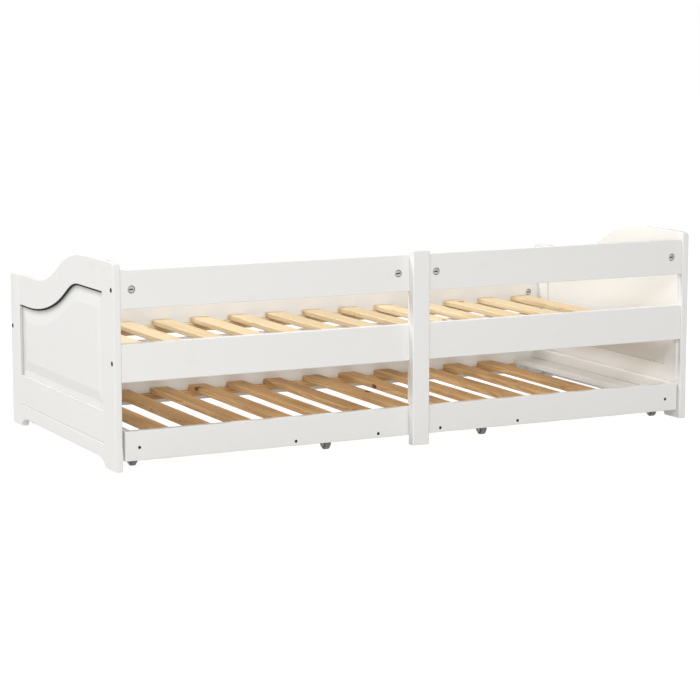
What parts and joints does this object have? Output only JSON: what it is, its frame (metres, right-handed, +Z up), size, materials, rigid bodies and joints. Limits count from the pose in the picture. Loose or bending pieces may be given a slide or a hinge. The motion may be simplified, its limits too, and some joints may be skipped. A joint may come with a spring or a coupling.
{
  "type": "trundle bed",
  "caption": "Day bed frame with wave-topped panelled ends, open back guard rails, slatted bases and a low pull-out second bed on small wheels.",
  "frame": {"origin": "on the floor, at the centre of the bed's bounding box in X and Y", "axes": "+X along the bed, +Y towards the back with the guard rails and centre post, +Z up; the trundle pulls out towards -Y"},
  "size_m": [2.055, 0.978, 0.633],
  "materials": {
    "white_paint": "satin white paint on planed pine, edges slightly eased",
    "pale_pine": "planed natural pine, pale, thinly lacquered",
    "honey_pine": "planed natural pine, darker honey tone with knots",
    "grey_plastic": "moulded mid-grey plastic",
    "zinc_steel": "zinc-plated bolts and barrel nuts, slightly dulled"
  },
  "bodies": {
    "bed_frame": {"left_end_back_stile": "white_paint", "left_end_front_stile": "white_paint", "left_end_top_rail": "white_paint", "left_end_bottom_rail": "white_paint", "left_end_panel": "white_paint", "right_end_back_stile": "white_paint", "right_end_front_stile": "white_paint", "right_end_top_rail": "white_paint", "right_end_bottom_rail": "white_paint", "right_end_panel": "white_paint", "centre_post": "white_paint", "upper_left_rail": "white_paint", "upper_right_rail": "white_paint", "lower_left_rail": "white_paint", "lower_right_rail": "white_paint", "front_rail": "white_paint", "bed_back_ledger": "pale_pine", "bed_front_ledger": "pale_pine", "bed_slat_01": "pale_pine", "bed_slat_02": "pale_pine", "bed_slat_03": "pale_pine", "bed_slat_04": "pale_pine", "bed_slat_05": "pale_pine", "bed_slat_06": "pale_pine", "bed_slat_07": "pale_pine", "bed_slat_08": "pale_pine", "bed_slat_09": "pale_pine", "bed_slat_10": "pale_pine", "bed_slat_11": "pale_pine", "bed_slat_12": "pale_pine", "bed_slat_13": "pale_pine", "bed_slat_14": "pale_pine"},
    "trundle": {"trundle_back_rail": "white_paint", "trundle_front_panel": "white_paint", "trundle_left_end_plank": "white_paint", "trundle_right_end_plank": "white_paint", "trundle_left_end_board": "white_paint", "trundle_right_end_board": "white_paint", "trundle_left_caster_block": "pale_pine", "trundle_right_caster_block": "pale_pine", "trundle_back_ledger": "honey_pine", "trundle_front_ledger": "honey_pine", "trundle_slat_01": "honey_pine", "trundle_slat_02": "honey_pine", "trundle_slat_03": "honey_pine", "trundle_slat_04": "honey_pine", "trundle_slat_05": "honey_pine", "trundle_slat_06": "honey_pine", "trundle_slat_07": "honey_pine", "trundle_slat_08": "honey_pine", "trundle_slat_09": "honey_pine", "trundle_slat_10": "honey_pine", "trundle_slat_11": "honey_pine", "trundle_slat_12": "honey_pine"},
    "left_back_wheel_body": {"left_back_wheel": "grey_plastic"},
    "left_front_wheel_body": {"left_front_wheel": "grey_plastic"},
    "right_back_wheel_body": {"right_back_wheel": "grey_plastic"},
    "right_front_wheel_body": {"right_front_wheel": "grey_plastic"},
    "left_middle_wheel_body": {"left_middle_wheel": "grey_plastic"},
    "right_middle_wheel_body": {"right_middle_wheel": "grey_plastic"}
  },
  "joints": [
    {"name": "trundle_slide", "type": "slide", "parent": "bed_frame", "child": "trundle", "axis": [0, -1, 0], "range_m": [0, 0.9]},
    {"name": "left_back_wheel_roll", "type": "hinge", "parent": "trundle", "child": "left_back_wheel_body", "pos_m": [-0.9485, 0.381, 0.02], "axis": [1, 0, 0], "range_deg": [0, 2580]},
    {"name": "left_front_wheel_roll", "type": "hinge", "parent": "trundle", "child": "left_front_wheel_body", "pos_m": [-0.9775, -0.431, 0.02], "axis": [1, 0, 0], "range_deg": [0, 2580]},
    {"name": "right_back_wheel_roll", "type": "hinge", "parent": "trundle", "child": "right_back_wheel_body", "pos_m": [0.9405, 0.381, 0.02], "axis": [1, 0, 0], "range_deg": [0, 2580]},
    {"name": "right_front_wheel_roll", "type": "hinge", "parent": "trundle", "child": "right_front_wheel_body", "pos_m": [0.9695, -0.431, 0.02], "axis": [1, 0, 0], "range_deg": [0, 2580]},
    {"name": "left_middle_wheel_roll", "type": "hinge", "parent": "trundle", "child": "left_middle_wheel_body", "pos_m": [-0.265, 0.412, 0.02], "axis": [1, 0, 0], "range_deg": [0, 2580]},
    {"name": "right_middle_wheel_roll", "type": "hinge", "parent": "trundle", "child": "right_middle_wheel_body", "pos_m": [0.301, 0.412, 0.02], "axis": [1, 0, 0], "range_deg": [0, 2580]}
  ],
  "couplings": [
    {"joint": "left_back_wheel_roll", "follows": "trundle_slide", "rad_per_m": 50},
    {"joint": "left_front_wheel_roll", "follows": "trundle_slide", "rad_per_m": 50},
    {"joint": "right_back_wheel_roll", "follows": "trundle_slide", "rad_per_m": 50},
    {"joint": "right_front_wheel_roll", "follows": "trundle_slide", "rad_per_m": 50},
    {"joint": "left_middle_wheel_roll", "follows": "trundle_slide", "rad_per_m": 50},
    {"joint": "right_middle_wheel_roll", "follows": "trundle_slide", "rad_per_m": 50}
  ]
}
